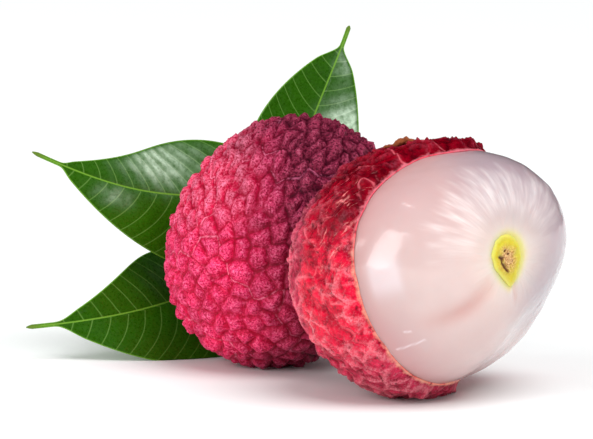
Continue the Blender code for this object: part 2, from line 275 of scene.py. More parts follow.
def fruit_radius(fruit, polar, around):
    """Size times one plus Legendre terms of cos(polar) plus lobes, less a Gaussian dimple."""
    c = np.cos(polar)
    s = np.sin(polar)
    form = 1 + fruit["length"] * (3 * c * c - 1) / 2 + fruit["pear"] * (5 * c ** 3 - 3 * c) / 2
    for count, power, cosine, sine in fruit["lobes"]:
        wave = cosine * np.cos(count * around) + sine * np.sin(count * around)
        form = form + s ** count * c ** power * wave
    dimple = fruit["dimple_depth"] * np.exp(-(polar / fruit["dimple_spread"]) ** 2)
    return fruit["size"] * form - dimple


def sphere_points(polar, around):
    """Unit vectors at a polar angle from the third axis and an angle round it."""
    polar, around = np.broadcast_arrays(polar, around)
    return np.stack((np.sin(polar) * np.cos(around), np.sin(polar) * np.sin(around), np.cos(polar)), -1)


def fruit_points(fruit, polar, around, proud=0.0):
    """The centre plus (radius + proud) along each direction of the fruit's frame."""
    radius = fruit_radius(fruit, polar, around) + proud
    local = radius[..., None] * sphere_points(polar, around)
    return fruit_centre(fruit) + local @ fruit_frame(fruit)


def on_table(points):
    """The points, with any that lie under the table lifted on to it."""
    points[..., 2] = np.maximum(points[..., 2], 0.0)
    return points


def around_angles(count):
    """Evenly spaced angles round a full turn."""
    return np.arange(count) * math.tau / count


def turn_away(around, middle):
    """How far round the fruit a place is from another, the short way, in radians."""
    return np.abs((around - middle + math.pi) % math.tau - math.pi)


def rind_edge_angle(around):
    """The torn edge's polar angle: its mean, one wave and two waves round the fruit, and its tears."""
    once = RIND_EDGE["once"]
    twice = RIND_EDGE["twice"]
    edge = (RIND_EDGE["mean"] + once[0] * np.cos(around) + once[1] * np.sin(around)
            + twice[0] * np.cos(2 * around) + twice[1] * np.sin(2 * around))
    for middle, half_width, depth in RIND_EDGE["tears"]:
        edge = edge + depth * smooth_step(1 - turn_away(around, middle) / half_width)
    return edge


def cloud_noise(points, cell, seed):
    """Value noise from -1 to 1: random numbers on a cubic grid of the given cell, smoothly blended."""
    size = 32
    table = np.random.default_rng(seed).uniform(-1, 1, (size, size, size))
    place = np.asarray(points, float) / cell + 1000.5
    low = np.floor(place).astype(int)
    part = smooth_step(place - low)
    total = 0.0
    for corner in np.ndindex(2, 2, 2):
        x, y, z = np.moveaxis((low + corner) % size, -1, 0)
        share = np.prod(np.where(corner, part, 1 - part), axis=-1)
        total = total + share * table[x, y, z]
    return total


def layered_noise(points, cell, seed, layers=3):
    """Cloud noise plus finer and fainter copies, each half the cell and half the height."""
    return sum(cloud_noise(points, cell / 2 ** i, seed + i) / 2 ** i for i in range(layers))


# ---------------------------------------------------------------- rind bumps
def bump_seeds(fruit, bumps):
    """Middles of the bumps: a Fibonacci spiral, jittered, spread wider where the rind faces out.

    A seed at angle a from the facing direction moves to a + spread*sin(a).
    """
    random = np.random.default_rng(bumps["seed"])
    count = bumps["count"]
    index = np.arange(count) + 0.5
    height = 1 - 2 * index / count
    turn = math.pi * (1 + 5 ** 0.5) * index
    reach = np.sqrt(1 - height ** 2)
    seeds = np.stack((reach * np.cos(turn), reach * np.sin(turn), height), -1)
    spacing = math.sqrt(4 * math.pi / count)
    seeds = unit(seeds + random.normal(0, bumps["jitter"] * spacing / 2, seeds.shape))
    face = unit(fruit_frame(fruit) @ np.asarray(bumps["facing"]))
    angle = np.arccos(np.clip(seeds @ face, -1, 1))
    sideways = unit(seeds - np.cos(angle)[:, None] * face)
    wider = angle + bumps["spread"] * np.sin(angle)
    return unit(np.cos(wider)[:, None] * face + np.sin(wider)[:, None] * sideways)


def bump_field(fruit, bumps, directions):
    """Each direction's place in the mosaic of bumps, as a dict of arrays.

    A bump owns the directions nearest to its seed. Distance is shrunk along the fruit by the
    stretch. rim is how far in from the groove a point is: (second^2 - first^2) over twice the
    distance between the two seeds. lead is how far it is from the seed towards the stalk end.
    thread is like rim but between two families of bumps, so that it is 0 along a wandering line
    and changes sign across it. tone is one random number for each bump.
    """
    size = fruit["size"]
    random = np.random.default_rng(bumps["seed"] + 1)
    seeds = bump_seeds(fruit, bumps)
    along = unit(np.array((0, 0, 1.0)) - seeds * seeds[:, 2:])
    away = smooth_step((seeds[:, 2] + 0.75) / 0.6)      # 0 at the blossom end, 1 well away from it
    stretch = bumps["round_end"] + (bumps["stretch"] - bumps["round_end"]) * away
    group_seeds = unit(random.normal(size=(bumps["groups"], 3)))
    family = random.integers(0, 2, bumps["groups"])[np.argmax(seeds @ group_seeds.T, axis=1)]
    tone = random.uniform(-1, 1, len(seeds))
    places = directions * size
    warp = np.stack([layered_noise(places, 2.6, bumps["seed"] + 10 * i, 2) for i in range(3)], -1)
    warped = unit(directions + warp * bumps["wander"] * 0.42 / size)

    rim = np.empty(len(warped))
    lead = np.empty(len(warped))
    thread = np.empty(len(warped))
    owner = np.empty(len(warped), int)
    # single precision is fast and close enough to find the nearest seeds
    seeds_too, along_too, stretch_too = (array.astype(np.float32) for array in (seeds, along, stretch))
    out_of_reach = 9.0
    rows = 16_000_000 // len(seeds)         # as many directions at once as memory has room for
    for start in range(0, len(warped), rows):
        part = slice(start, start + rows)
        here = warped[part].astype(np.float32)
        chord = 2 - 2 * here @ seeds_too.T
        run = here @ along_too.T
        square = stretch_too * (chord - (1 - 1 / stretch_too ** 2) * run ** 2)
        order = np.argpartition(square, 1, axis=1)[:, :2]
        near = np.take_along_axis(square, order, axis=1)
        swap = near[:, 0] > near[:, 1]
        best = np.where(swap, order[:, 1], order[:, 0])
        second = np.where(swap, order[:, 0], order[:, 1])
        apart = np.linalg.norm(seeds[best] - seeds[second], axis=1)
        owner[part] = best
        lead[part] = np.take_along_axis(run, best[:, None], axis=1)[:, 0] * size
        rim[part] = size * (near.max(1) - near.min(1)) / (2 * apart)
        ours = np.where(family[None], square, out_of_reach).min(1)
        theirs = np.where(family[None], out_of_reach, square).min(1)
        thread[part] = size * (theirs - ours) / (2 * math.sqrt(4 * math.pi / bumps["count"]))
    return dict(rim=rim, lead=lead, thread=thread, tone=tone[owner])


def dome(distance, shoulder):
    """0 at a groove, rising as 1 - (1 - distance/shoulder)^2 to 1 at the shoulder."""
    return 1 - (1 - np.clip(distance / shoulder, 0, 1)) ** 2


# ---------------------------------------------------------------- meshes
def add_object(name, data):
    """A new object in the scene that holds the data."""
    made = bpy.data.objects.new(name, data)
    bpy.context.scene.collection.objects.link(made)
    return made


def add_piece(node_name, material, points, faces, attributes):
    """One smooth object that stands for a CAD node: points in millimetres, faces as arrays of corners.

    The signed volume is the sum of (a x b).c over the triangles that fan out from each face's first
    corner. Where it is negative the faces look inwards, so all of them are turned round.
    """
    volume = 0.0
    for rows in faces:
        for corner in range(1, rows.shape[1] - 1):
            a, b, c = (points[rows[:, i]] for i in (0, corner, corner + 1))
            volume += np.sum(np.cross(a, b) * c)
    turn = 1 if volume > 0 else -1
    corners = np.concatenate([rows[:, ::turn].ravel() for rows in faces])
    counts = np.concatenate([np.full(len(rows), rows.shape[1]) for rows in faces])

    mesh = bpy.data.meshes.new(node_name + "_look")
    mesh.vertices.add(len(points))
    mesh.vertices.foreach_set("co", (points * MM).astype(np.float32).ravel())
    mesh.loops.add(len(corners))
    mesh.loops.foreach_set("vertex_index", corners.astype(np.int32))
    mesh.polygons.add(len(counts))
    mesh.polygons.foreach_set("loop_start", (np.cumsum(counts) - counts).astype(np.int32))
    mesh.update(calc_edges=True)
    mesh.shade_smooth()
    for name, values in attributes.items():
        kind, field = ("FLOAT_VECTOR", "vector") if values.ndim == 2 else ("FLOAT", "value")
        layer = mesh.attributes.new(name, kind, "POINT")
        layer.data.foreach_set(field, values.astype(np.float32).ravel())
    mesh.materials.append(material)
    piece = add_object(node_name + "_look", mesh)
    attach(piece, "root")
    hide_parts(node_name)


def closed_surface(node_name, slot, material, rings, **attributes):
    """A closed body through rings of points: quads between rings and a fan of triangles at each end.

    The point (row i, column j) joins (i, j+1), (i+1, j+1) and (i+1, j), columns wrapping round. An
    attribute has a number or a vector for every point, row or column.
    """
    rows, columns = rings.shape[:2]

    def with_ends(values):
        """The values of all points, then the mean round the first ring and round the last."""
        depth = values.shape[2:]
        values = np.broadcast_to(values, (rows, columns, *depth))
        return np.concatenate((values.reshape(-1, *depth), values[:1].mean(1), values[-1:].mean(1)))

    index = np.arange(rows * columns).reshape(rows, columns)
    beside = np.roll(index, -1, axis=1)
    quads = np.stack((index[:-1], beside[:-1], beside[1:], index[1:]), -1).reshape(-1, 4)
    first_fan = np.stack((beside[0], index[0], np.full(columns, rows * columns)), -1)
    last_fan = np.stack((index[-1], beside[-1], np.full(columns, rows * columns + 1)), -1)
    add_piece(node_name, material, with_ends(rings), (quads, first_fan, last_fan),
              {name: with_ends(values) for name, values in attributes.items()})


def cube_sphere(count):
    """Directions and quads of a cube's faces blown up to a sphere, its shared edges merged.

    A face point at (a, b) from -1 to 1 goes to the unit vector of (tan(a pi/4), tan(b pi/4), 1).
    """
    line = np.tan(np.linspace(-1, 1, count + 1) * math.pi / 4)
    a, b = np.meshgrid(line, line, indexing="ij")
    face = np.stack((a, b, np.ones_like(a)), -1).reshape(-1, 3)
    index = np.arange((count + 1) ** 2).reshape(count + 1, count + 1)
    square = np.stack((index[:-1, :-1], index[1:, :-1], index[1:, 1:], index[:-1, 1:]), -1).reshape(-1, 4)
    faces = []
    quads = []
    for turn in range(3):
        for side in (1, -1):
            quads.append(square[:, ::side] + len(faces) * len(face))
            faces.append(np.roll(face, turn, axis=1) * side)
    every = np.concatenate(faces)
    _, first, merged = np.unique(np.round(every, 6), axis=0, return_index=True, return_inverse=True)
    return unit(every[first]), merged.reshape(-1)[np.concatenate(quads)]


def tube_rings(path, headings, radii, count):
    """Circles of the given radii round the points of a path, square to its headings."""
    side = unit(np.cross(headings, (0.31, 0.17, 0.93)))
    other = np.cross(headings, side)
    angles = around_angles(count)[None, :, None]
    circle = np.cos(angles) * side[:, None] + np.sin(angles) * other[:, None]
    return path[:, None] + radii[:, None, None] * circle


def roughened(path, rings, share):
    """Rings whose points move out from the path by a share of their distance to it."""
    return path[:, None] + (rings - path[:, None]) * (1 + share[..., None])


# ---------------------------------------------------------------- materials
ATTRIBUTE = "ShaderNodeAttribute"
BUMP = "ShaderNodeBump"
MATH = "ShaderNodeMath"
MIX = "ShaderNodeMix"
NOISE = "ShaderNodeTexNoise"
PLACE = "ShaderNodeTexCoord"
RANGE = "ShaderNodeMapRange"
SHADER = "Principled BSDF"
TINT = "ShaderNodeHueSaturation"
COLOUR = dict(out=2, data_type="RGBA")      # a Mix node's settings where it mixes colours


def srgb(text):
    """An sRGB hex value as linear RGBA."""
    parts = np.array([int(text[i:i + 2], 16) for i in (1, 3, 5)]) / 255
    linear = np.where(parts <= 0.04045, parts / 12.92, ((parts + 0.055) / 1.055) ** 2.4)
    return (*linear.tolist(), 1.0)


def node(tree, kind, inputs=None, out=0, **settings):
    """Add one node with its settings and links, and return one of its outputs. Text is a hex colour."""
    made = tree.nodes.new(kind)
    for name, value in settings.items():
        setattr(made, name, value)
    for key, value in (inputs or {}).items():
        if isinstance(value, bpy.types.NodeSocket):
            tree.links.new(value, made.inputs[key])
        else:
            made.inputs[key].default_value = srgb(value) if isinstance(value, str) else value
    return made.outputs[out]


def new_material(name, shader_values):
    """A material whose shader has the given plain values, and its node tree."""
    made = bpy.data.materials.new(name)
    made.use_nodes = True
    for key, value in shader_values.items():
        made.node_tree.nodes[SHADER].inputs[key].default_value = value
    return made, made.node_tree


def wired(material, colour, roughness, relief):
    """The material, with its three patterns joined to its shader."""
    tree = material.node_tree
    for name, pattern in (("Base Color", colour), ("Roughness", roughness), ("Normal", relief)):
        tree.links.new(pattern, tree.nodes[SHADER].inputs[name])
    return material


def dry_rind_material():
    """Dry lychee rind, a thin leathery skin: matt, dusty on the bumps, crimson in the grooves."""
    material, tree = new_material("dry_lychee_rind", {"IOR": 1.40, "Specular IOR Level": 0.25})
    place = node(tree, PLACE, out="Object")
    crest, grain, blush, dusty, tone, thread = (
        node(tree, ATTRIBUTE, out="Fac", attribute_name=name)
        for name in ("crest", "grain", "blush", "dusty", "tone", "thread"))
    # granules 0.3 mm across, the mottling of each bump, and blotches of a few bumps
    speck, mottle, cloud = (
        node(tree, NOISE, {"Vector": place, "Scale": PER_MM / size, "Detail": detail, "Roughness": rough})
        for size, detail, rough in ((0.30, 2.0, 0.8), (0.95, 3.0, 0.65), (3.0, 2.0, 0.5)))
    # on the whole fruit blush also carries painted light from the left and painted shade at the foot
    groove_tint, crest_tint, deep_tint, dust_tint, prick_tint, line_tint = (
        node(tree, MIX, {0: blush, 6: dull, 7: bright}, **COLOUR)
        for dull, bright in (("#600826", "#d40042"), ("#a43254", "#ff4080"), ("#28020e", "#960020"),
                             ("#b06078", "#ff8cae"), ("#3c081c", "#b0002e"), ("#b8587a", "#ff84a4")))
    dusty = node(tree, MATH, {0: dusty, 1: 0.6}, operation="MULTIPLY")
    crest_tint = node(tree, MIX, {0: dusty, 6: crest_tint, 7: "#d8889c"}, **COLOUR)
    height = node(tree, MATH, {0: grain, 1: 0.3, 2: crest}, operation="MULTIPLY_ADD")
    height = node(tree, MATH, {0: mottle, 1: 2.2, 2: height}, operation="MULTIPLY_ADD")
    lifted = node(tree, RANGE, {0: height, 1: 1.35, 2: 2.60})
    # painted shade: the floor of a groove is darkened, more in patches
    deep = node(tree, RANGE, {0: crest, 1: 0.32, 2: 0.03, 4: 0.95})
    patchy = node(tree, RANGE, {0: mottle, 1: 0.40, 2: 0.60, 3: 1.0, 4: 0.15})
    deep = node(tree, MATH, {0: deep, 1: patchy}, operation="MULTIPLY")
    # dust on the bumps and dark pin-pricks
    dust = node(tree, RANGE, {0: speck, 1: 0.52, 2: 0.63, 4: 0.75})
    dust = node(tree, MATH, {0: dust, 1: lifted}, operation="MULTIPLY")
    pricks = node(tree, RANGE, {0: speck, 1: 0.50, 2: 0.39, 4: 0.95})
    # pale broken threads between families of bumps
    off_line = node(tree, MATH, {0: thread}, operation="ABSOLUTE")
    line = node(tree, RANGE, {0: off_line, 1: 0.18, 2: 0.05, 4: 0.85})
    worn = node(tree, RANGE, {0: mottle, 1: 0.40, 2: 0.58})
    line = node(tree, MATH, {0: line, 1: worn}, operation="MULTIPLY")
    skin = groove_tint
    for amount, tint in ((lifted, crest_tint), (deep, deep_tint), (dust, dust_tint),
                         (pricks, prick_tint), (line, line_tint)):
        skin = node(tree, MIX, {0: amount, 6: skin, 7: tint}, **COLOUR)
    shade = node(tree, MATH, {0: tone, 1: 0.14, 2: 1.0}, operation="MULTIPLY_ADD")
    cloudy = node(tree, RANGE, {0: cloud, 1: 0.3, 2: 0.7, 3: 0.84, 4: 1.14})
    shade = node(tree, MATH, {0: shade, 1: cloudy}, operation="MULTIPLY")
    skin = node(tree, TINT, {"Color": skin, "Value": shade})
    rough = node(tree, RANGE, {0: speck, 1: 0.3, 2: 0.7, 3: 0.40, 4: 0.66})
    relief = node(tree, BUMP, {"Height": mottle, "Distance": 0.20 * MM, "Strength": 0.6})
    relief = node(tree, BUMP, {"Height": speck, "Distance": 0.14 * MM, "Strength": 0.9, "Normal": relief})
    return wired(material, skin, rough, relief)


def wet_rind_material():
    """Freshly peeled lychee rind, wet with juice: glossy saturated red, dark pits, pale pink ridges."""
    material, tree = new_material("wet_lychee_rind", {"IOR": 1.36, "Specular IOR Level": 0.24})
    place = node(tree, PLACE, out="Object")
    streak_place = node(tree, ATTRIBUTE, out="Vector", attribute_name="streak_place")
    crest, grain, wet, thread, ridge, near, under, edge, peach, blush = (
        node(tree, ATTRIBUTE, out="Fac", attribute_name=name)
        for name in ("crest", "grain", "wet", "thread", "ridge", "near", "under", "edge", "peach", "blush"))
    speck, mottle, cloud = (
        node(tree, NOISE, {"Vector": place, "Scale": PER_MM / size, "Detail": detail, "Roughness": rough})
        for size, detail, rough in ((0.32, 2.0, 0.8), (1.1, 3.0, 0.65), (2.6, 3.0, 0.6)))
    streak = node(tree, NOISE, {"Vector": streak_place, "Scale": 1.0, "Detail": 2.0, "Roughness": 0.6})
    height = node(tree, MATH, {0: grain, 1: 0.4, 2: crest}, operation="MULTIPLY_ADD")
    height = node(tree, MATH, {0: mottle, 1: 1.5, 2: height}, operation="MULTIPLY_ADD")
    height = node(tree, MATH, {0: cloud, 1: 2.0, 2: height}, operation="MULTIPLY_ADD")
    lifted = node(tree, RANGE, {0: height, 1: 1.95, 2: 2.95})
    wet_low, wet_high, dry_low, dry_high, web_tint = (
        node(tree, MIX, {0: blush, 6: dull, 7: bright}, **COLOUR)
        for dull, bright in (("#4c000a", "#ac0024"), ("#900018", "#ff1040"), ("#5c0820", "#98042c"),
                             ("#94384e", "#ea3860"), ("#c0506a", "#ff98a4")))
    wet_skin = node(tree, MIX, {0: lifted, 6: wet_low, 7: wet_high}, **COLOUR)
    dry_skin = node(tree, MIX, {0: lifted, 6: dry_low, 7: dry_high}, **COLOUR)
    # painted glints and painted shade along the wrinkles by the torn edge, and grainy pale ridges where the
    # skin dries first
    grainy = node(tree, RANGE, {0: speck, 1: 0.40, 2: 0.58, 3: 0.25})
    hollow = node(tree, RANGE, {0: streak, 1: 0.46, 2: 0.36, 4: 0.7})
    hollow = node(tree, MATH, {0: hollow, 1: near}, operation="MULTIPLY")
    web = node(tree, MATH, {0: ridge, 1: grainy}, operation="MULTIPLY")
    glaze = node(tree, RANGE, {0: streak, 1: 0.60, 2: 0.68, 4: 0.85})
    glaze = node(tree, MATH, {0: glaze, 1: near}, operation="MULTIPLY")
    glaze = node(tree, MATH, {0: glaze, 1: grainy}, operation="MULTIPLY")
    # dust on the bumps, half washed off and only where it is bright in the wet part, and dark pits
    dust = node(tree, RANGE, {0: speck, 1: 0.52, 2: 0.70, 4: 0.6})
    thin_dust = node(tree, MATH, {0: dust, 1: 0.50}, operation="MULTIPLY")
    thin_dust = node(tree, MATH, {0: thin_dust, 1: blush}, operation="MULTIPLY")
    dust = node(tree, MIX, {0: wet, 2: dust, 3: thin_dust})
    pits = node(tree, RANGE, {0: mottle, 1: 0.42, 2: 0.31, 4: 0.75})
    # pale broken threads between families of bumps
    off_line = node(tree, MATH, {0: thread}, operation="ABSOLUTE")
    line = node(tree, RANGE, {0: off_line, 1: 0.20, 2: 0.04, 4: 0.5})
    worn = node(tree, RANGE, {0: cloud, 1: 0.45, 2: 0.60})
    line = node(tree, MATH, {0: line, 1: worn}, operation="MULTIPLY")
    skin = dry_skin
    for amount, tint in ((wet, wet_skin), (hollow, "#5a000e"), (web, web_tint), (glaze, "#ff9c9a"),
                         (dust, "#e07a8c"), (pits, "#560412"), (line, "#f4707e")):
        skin = node(tree, MIX, {0: amount, 6: skin, 7: tint}, **COLOUR)
    # painted shade: the skin is darkened low on the fruit
    shade = node(tree, RANGE, {0: under, 3: 1.0, 4: 0.62})
    skin = node(tree, TINT, {"Color": skin, "Value": shade})
    # the torn edge shows the pale inside of the skin
    torn = node(tree, MIX, {0: peach, 6: "#d8707e", 7: "#eca68e"}, **COLOUR)
    frayed = node(tree, MATH, {0: mottle, 1: -1.6, 2: edge}, operation="MULTIPLY_ADD")
    at_edge = node(tree, RANGE, {0: frayed, 1: -0.40, 2: -0.95, 4: 0.95})
    inside = node(tree, RANGE, {0: edge, 1: -0.6, 2: -2.0})
    for amount, tint in ((at_edge, torn), (inside, "#e9b9b4")):
        skin = node(tree, MIX, {0: amount, 6: skin, 7: tint}, **COLOUR)
    dry_rough = node(tree, RANGE, {0: speck, 1: 0.3, 2: 0.7, 3: 0.42, 4: 0.66})
    wet_rough = node(tree, RANGE, {0: mottle, 1: 0.3, 2: 0.7, 3: 0.08, 4: 0.22})
    rough = node(tree, MIX, {0: wet, 2: dry_rough, 3: wet_rough})
    relief = node(tree, BUMP, {"Height": mottle, "Distance": 0.55 * MM, "Strength": 0.9})
    relief = node(tree, BUMP, {"Height": streak, "Distance": 0.12 * MM, "Strength": 0.6, "Normal": relief})
    relief = node(tree, BUMP, {"Height": speck, "Distance": 0.05 * MM, "Strength": 0.8, "Normal": relief})
    return wired(material, skin, rough, relief)


def flesh_material():
    """Lychee flesh, a firm wet jelly: milky and translucent, with white fibres round the scar."""
    material, tree = new_material("lychee_flesh", {
        "IOR": 1.45, "Subsurface Weight": 0.7, "Subsurface Radius": (1.0, 0.60, 0.55),
        "Subsurface Scale": 3.0 * MM, "Coat Weight": 0.5, "Coat Roughness": 0.05})
    place = node(tree, PLACE, out="Object")
    ray_place = node(tree, ATTRIBUTE, out="Vector", attribute_name="ray_place")
    fibre, halo, stain, rosy, lilac, dusky, fold, gleam = (
        node(tree, ATTRIBUTE, out="Fac", attribute_name=name)
        for name in ("fibre", "halo", "stain", "rosy", "lilac", "dusky", "fold", "gleam"))
    cloud = node(tree, NOISE, {"Vector": place, "Scale": PER_MM / 5.0, "Detail": 3.0, "Roughness": 0.5})
    fine = node(tree, NOISE, {"Vector": place, "Scale": PER_MM / 0.45, "Detail": 2.0, "Roughness": 0.6})
    ray = node(tree, NOISE, {"Vector": ray_place, "Scale": 1.0, "Detail": 3.0, "Roughness": 0.6})
    threads = node(tree, RANGE, {0: ray, 1: 0.30, 2: 0.66, 3: 0.45})
    threads = node(tree, MATH, {0: threads, 1: fibre}, operation="MULTIPLY")
    milky = node(tree, MIX, {0: cloud, 6: "#dec8c4", 7: "#d4bbb8"}, **COLOUR)
    # painted light: the three darker tints and the fold's tint are painted shade, and the last tint a
    # painted highlight
    for amount, tint in ((dusky, "#c8a6a6"), (rosy, "#c98a88"), (lilac, "#b09da5"), (fold, "#cfa19b"),
                         (threads, "#fcf6f4"), (halo, "#f6e8da"), (stain, "#e2d668"), (gleam, "#f4eef4")):
        milky = node(tree, MIX, {0: amount, 6: milky, 7: tint}, **COLOUR)
    rough = node(tree, RANGE, {0: fine, 1: 0.3, 2: 0.7, 3: 0.14, 4: 0.26})
    strands = node(tree, MATH, {0: ray, 1: fibre}, operation="MULTIPLY")
    relief = node(tree, BUMP, {"Height": strands, "Distance": 0.10 * MM, "Strength": 0.5})
    relief = node(tree, BUMP, {"Height": fine, "Distance": 0.02 * MM, "Strength": 0.5, "Normal": relief})
    return wired(material, milky, rough, relief)


def scar_material():
    """The stalk's scar, fibrous and moist: a yellow ring, grainy tan inside, a brown crevice."""
    material, tree = new_material("lychee_stalk_scar", {
        "IOR": 1.42, "Subsurface Weight": 0.25, "Subsurface Scale": 1.0 * MM})
    place = node(tree, PLACE, out="Object")
    core, crevice, rim = (node(tree, ATTRIBUTE, out="Fac", attribute_name=name)
                          for name in ("core", "crevice", "rim"))
    grain = node(tree, NOISE, {"Vector": place, "Scale": PER_MM / 0.8, "Detail": 3.0, "Roughness": 0.6})
    granules = node(tree, NOISE, {"Vector": place, "Scale": PER_MM / 0.22, "Detail": 2.0, "Roughness": 0.7})
    pale = node(tree, RANGE, {0: granules, 1: 0.36, 2: 0.62})
    tan = node(tree, MIX, {0: pale, 6: "#a5682c", 7: "#e6bd84"}, **COLOUR)
    skin = node(tree, MIX, {0: grain, 6: "#bfa800", 7: "#e6d848"}, **COLOUR)
    for amount, tint in ((core, tan), (rim, "#e2d668"), (crevice, "#5a2614")):
        skin = node(tree, MIX, {0: amount, 6: skin, 7: tint}, **COLOUR)
    rough = node(tree, RANGE, {0: grain, 1: 0.3, 2: 0.7, 3: 0.3, 4: 0.55})
    relief = node(tree, BUMP, {"Height": granules, "Distance": 0.12 * MM, "Strength": 0.8})
    return wired(material, skin, rough, relief)


def leaf_material():
    """Evergreen lychee leaf with a wax skin: deep green, glossy, with pale thin veins and painted sheen."""
    material, tree = new_material("lychee_leaf_wax", {"IOR": 1.50, "Specular IOR Level": 0.25})
    place = node(tree, PLACE, out="Object")
    phase, across, margin, tip, back, bloom = (
        node(tree, ATTRIBUTE, out="Fac", attribute_name=name)
        for name in ("phase", "across", "margin", "tip", "back", "bloom"))
    cloud, grain, blotch = (
        node(tree, NOISE, {"Vector": place, "Scale": PER_MM / size, "Detail": detail, "Roughness": rough})
        for size, detail, rough in ((5.0, 3.0, 0.6), (0.40, 2.0, 0.7), (1.6, 3.0, 0.7)))
    net = node(tree, "ShaderNodeTexVoronoi", {"Vector": place, "Scale": PER_MM / 0.8},
               feature="DISTANCE_TO_EDGE")
    freckle = node(tree, RANGE, {0: grain, 1: 0.35, 2: 0.65, 4: 0.35})
    # painted sheen: pale patches painted in where the wax would reflect light, broken up in blotches
    waxy = node(tree, RANGE, {0: blotch, 1: 0.35, 2: 0.62, 3: 0.45, 4: 1.15})
    waxy = node(tree, MATH, {0: waxy, 1: bloom}, operation="MULTIPLY")
    # side veins: distance to the nearest whole phase
    off_vein = node(tree, MATH, {0: phase, 1: 0.5}, operation="PINGPONG")
    vein = node(tree, RANGE, {0: off_vein, 1: 0.050, 2: 0.012, 4: 0.34})
    # the side veins turn pale inside the painted sheen too
    vein_tint = node(tree, MIX, {0: bloom, 6: "#86b35a", 7: "#e6f6e0"}, **COLOUR)
    off_rib = node(tree, MATH, {0: across}, operation="ABSOLUTE")
    rib = node(tree, RANGE, {0: off_rib, 1: 0.16, 2: 0.06, 4: 0.85})
    rim = node(tree, RANGE, {0: margin, 1: 0.22, 2: 0.08, 4: 0.55})
    blade = node(tree, MIX, {0: cloud, 6: "#1c4600", 7: "#2a5c02"}, **COLOUR)
    for amount, tint in ((freckle, "#36700a"), (waxy, "#c2dcc0"), (back, "#6f9453"), (vein, vein_tint),
                         (rib, "#72a434"), (rim, "#86bf3a"), (tip, "#5f7a2a")):
        blade = node(tree, MIX, {0: amount, 6: blade, 7: tint}, **COLOUR)
    rough = node(tree, RANGE, {0: grain, 1: 0.3, 2: 0.7, 3: 0.24, 4: 0.38})
    relief = node(tree, BUMP, {"Height": net, "Distance": 0.20 * MM, "Strength": 0.25})
    relief = node(tree, BUMP, {"Height": grain, "Distance": 0.05 * MM, "Strength": 0.6, "Normal": relief})
    return wired(material, blade, rough, relief)


def bark_material(name, dark, light):
    """Thin young bark, dry and cracked lengthwise: matt, mottled brown, pale where it is cut."""
    material, tree = new_material(name, {"IOR": 1.45, "Specular IOR Level": 0.3})
    place = node(tree, PLACE, out="Object")
    cut = node(tree, ATTRIBUTE, out="Fac", attribute_name="cut")
    streaky = node(tree, "ShaderNodeMapping", {"Vector": place, "Scale": (1.0, 1.0, 0.35)})
    grain = node(tree, NOISE, {"Vector": streaky, "Scale": PER_MM / 0.5, "Detail": 4.0, "Roughness": 0.65})
    skin = node(tree, MIX, {0: grain, 6: dark, 7: light}, **COLOUR)
    skin = node(tree, MIX, {0: cut, 6: skin, 7: "#cdb98a"}, **COLOUR)
    rough = node(tree, RANGE, {0: grain, 1: 0.3, 2: 0.7, 3: 0.65, 4: 0.9})
    relief = node(tree, BUMP, {"Height": grain, "Distance": 0.25 * MM, "Strength": 0.8})
    return wired(material, skin, rough, relief)


# ---------------------------------------------------------------- the whole fruit
def make_whole_lychee():
    """The whole fruit: the CAD radius, less the depth of the grooves, plus a leaning dome on every bump.

    Height = rise * dome(rim) * (1 + share of tone) + lean * lead * dome + grains + fine noise + a
    raised thread between families of bumps.
    """
    directions, quads = cube_sphere(WHOLE_MESH)
    polar = np.arccos(np.clip(directions[:, 2], -1, 1))
    around = np.arctan2(directions[:, 1], directions[:, 0])
    field = bump_field(WHOLE_FRUIT, WHOLE_BUMPS, directions)
    grains = bump_field(WHOLE_FRUIT, WHOLE_GRAINS, directions)
    crest = dome(field["rim"], BUMP_SHOULDER)
    grain = dome(grains["rim"], GRAIN_SHOULDER)
    places = directions * WHOLE_FRUIT["size"]
    height = (BUMP_RISE * crest * (1 + 0.42 * field["tone"]) + BUMP_LEAN * field["lead"] * crest
              + GRAIN_RISE * grain * (1 + 0.5 * grains["tone"])
              + 0.06 * layered_noise(places, 1.2, 41, 2) - RIND_UNDER_CAD
              + SEAM_RISE * np.exp(-(field["thread"] / 0.13) ** 2))
    points = on_table(fruit_points(WHOLE_FRUIT, polar, around, height))

    # redder low on the left, the fruit's own colour and painted light from the left; duller at the foot on
    # the right, a painted shade where the peeled fruit stands close; dusty high on the left
    right, back, up = (directions @ fruit_frame(WHOLE_FRUIT)).T
    slow = layered_noise(places, 8.0, 51, 2)
    blush = smooth_step((0.42 - 1.05 * right - 0.36 * up + 0.10 * back) / 0.95 + 0.15 * slow)
    blush = blush * (1 - 0.75 * smooth_step((-0.55 - up) / 0.40) * smooth_step((right + 0.55) / 0.5))
    dusty = smooth_step((0.8 * up - 0.15 * right - 0.1) / 0.4) * smooth_step((-0.10 - right) / 0.3)
    add_piece("whole_lychee", dry_rind_material(), points, [quads],
              dict(crest=crest, grain=grain, blush=blush, dusty=dusty, thread=field["thread"],
                   tone=0.6 * field["tone"] + 0.4 * grains["tone"]))


# ---------------------------------------------------------------- twig and stalk
def twig_path():
    """The twig's four Bezier points in the row frame."""
    return from_low_corner("twig", TWIG_PATH)


def twig_radius(t):
    """The twig thickens to its foot, with a Gaussian swelling at each leaf."""
    swelling = sum(KNUCKLE * np.exp(-((t - leaf["twig_at"]) / 0.035) ** 2) for leaf in LEAVES.values())
    return TWIG_TOP_RADIUS + (TWIG_FOOT_RADIUS - TWIG_TOP_RADIUS) * t + swelling


